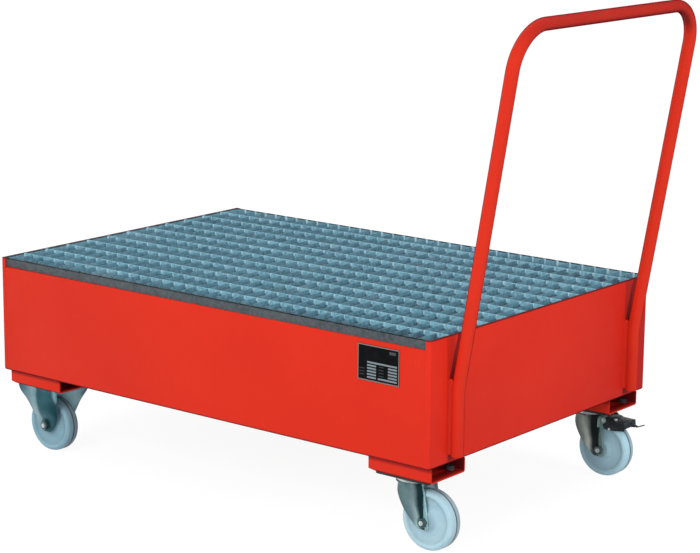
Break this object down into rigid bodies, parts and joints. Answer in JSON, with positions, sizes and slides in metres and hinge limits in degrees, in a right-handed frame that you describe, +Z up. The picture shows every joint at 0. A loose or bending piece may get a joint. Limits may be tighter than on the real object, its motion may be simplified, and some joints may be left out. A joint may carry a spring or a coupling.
{
  "type": "drum dolly with sump tub",
  "caption": "Mobile spill-containment tub for drums: red sheet-steel sump, lift-off galvanised grating, bent-tube push handle, fixed and swivel castors, one with a brake.",
  "frame": {"origin": "floor level, under the middle of the overall bounding box", "axes": "+X towards the push handle, +Y to the right-hand side with the braked castor, +Z up"},
  "size_m": [1.35, 0.801, 1.0664],
  "materials": {
    "red_paint": "gloss",
    "hot_dip_zinc": "satin",
    "zinc_plate": "satin",
    "ball_steel": "polished",
    "polyamide": "satin",
    "black_steel": "satin",
    "brake_rubber": "matte",
    "label_plate": "satin"
  },
  "bodies": {
    "chassis": {"sump_trough": "red_paint", "front_end_plate": "red_paint", "rear_end_plate": "red_paint", "foot_front_left": "red_paint", "foot_front_right": "red_paint", "foot_rear_left": "red_paint", "foot_rear_right": "red_paint", "handle_tube": "red_paint", "id_plate": "label_plate", "castor_bolts": "zinc_plate", "castor_washers": "zinc_plate", "rigid_fork_front_left": "zinc_plate", "rigid_fork_front_right": "zinc_plate", "swivel_plate_rear_left": "zinc_plate", "swivel_plate_rear_right": "zinc_plate", "kingpins": "zinc_plate", "kingpin_nuts": "zinc_plate", "axle_sleeve_front_left": "zinc_plate", "axle_bolt_front_left": "zinc_plate", "axle_nut_front_left": "zinc_plate", "axle_sleeve_front_right": "zinc_plate", "axle_bolt_front_right": "zinc_plate", "axle_nut_front_right": "zinc_plate"},
    "grating": {"grating_frame": "hot_dip_zinc", "grating_bearing_bars": "hot_dip_zinc", "grating_cross_bars": "hot_dip_zinc"},
    "wheel_front_left": {"wheel_front_left": "polyamide"},
    "wheel_front_right": {"wheel_front_right": "polyamide"},
    "swivel_left": {"swivel_fork_rear_left": "zinc_plate", "race_ring_rear_left": "zinc_plate", "race_balls_rear_left": "ball_steel", "axle_sleeve_rear_left": "zinc_plate", "axle_bolt_rear_left": "zinc_plate", "axle_nut_rear_left": "zinc_plate"},
    "swivel_right": {"swivel_fork_rear_right": "zinc_plate", "race_ring_rear_right": "zinc_plate", "race_balls_rear_right": "ball_steel", "brake_pin": "zinc_plate", "axle_sleeve_rear_right": "zinc_plate", "axle_bolt_rear_right": "zinc_plate", "axle_nut_rear_right": "zinc_plate"},
    "wheel_rear_left": {"wheel_rear_left": "polyamide"},
    "wheel_rear_right": {"wheel_rear_right": "polyamide"},
    "brake": {"brake_pedal": "black_steel", "brake_shoe": "brake_rubber", "brake_rivets": "zinc_plate", "brake_release_tab": "black_steel", "brake_top_bolt": "zinc_plate"}
  },
  "joints": [
    {"name": "grating_lift", "type": "slide", "parent": "chassis", "child": "grating", "axis": [0, 0, 1], "range_m": [0, 0.15]},
    {"name": "wheel_front_left_spin", "type": "hinge", "parent": "chassis", "child": "wheel_front_left", "pos_m": [-0.582, -0.335, 0.0625], "axis": [0, 1, 0], "continuous": true},
    {"name": "wheel_front_right_spin", "type": "hinge", "parent": "chassis", "child": "wheel_front_right", "pos_m": [-0.582, 0.315, 0.0625], "axis": [0, 1, 0], "continuous": true},
    {"name": "swivel_left_turn", "type": "hinge", "parent": "chassis", "child": "swivel_left", "pos_m": [0.4475, -0.335, 0.1455], "axis": [0, 0, 1], "continuous": true},
    {"name": "swivel_right_turn", "type": "hinge", "parent": "chassis", "child": "swivel_right", "pos_m": [0.4475, 0.315, 0.1455], "axis": [0, 0, 1], "continuous": true},
    {"name": "wheel_rear_left_spin", "type": "hinge", "parent": "swivel_left", "child": "wheel_rear_left", "pos_m": [0.4865, -0.335, 0.0625], "axis": [0, 1, 0], "continuous": true},
    {"name": "wheel_rear_right_spin", "type": "hinge", "parent": "swivel_right", "child": "wheel_rear_right", "pos_m": [0.4865, 0.315, 0.0625], "axis": [0, 1, 0], "continuous": true},
    {"name": "brake_press", "type": "hinge", "parent": "swivel_right", "child": "brake", "pos_m": [0.4935, 0.315, 0.131], "axis": [0, 1, 0], "range_deg": [0, 8], "stiffness_Nm_per_rad": 12}
  ]
}
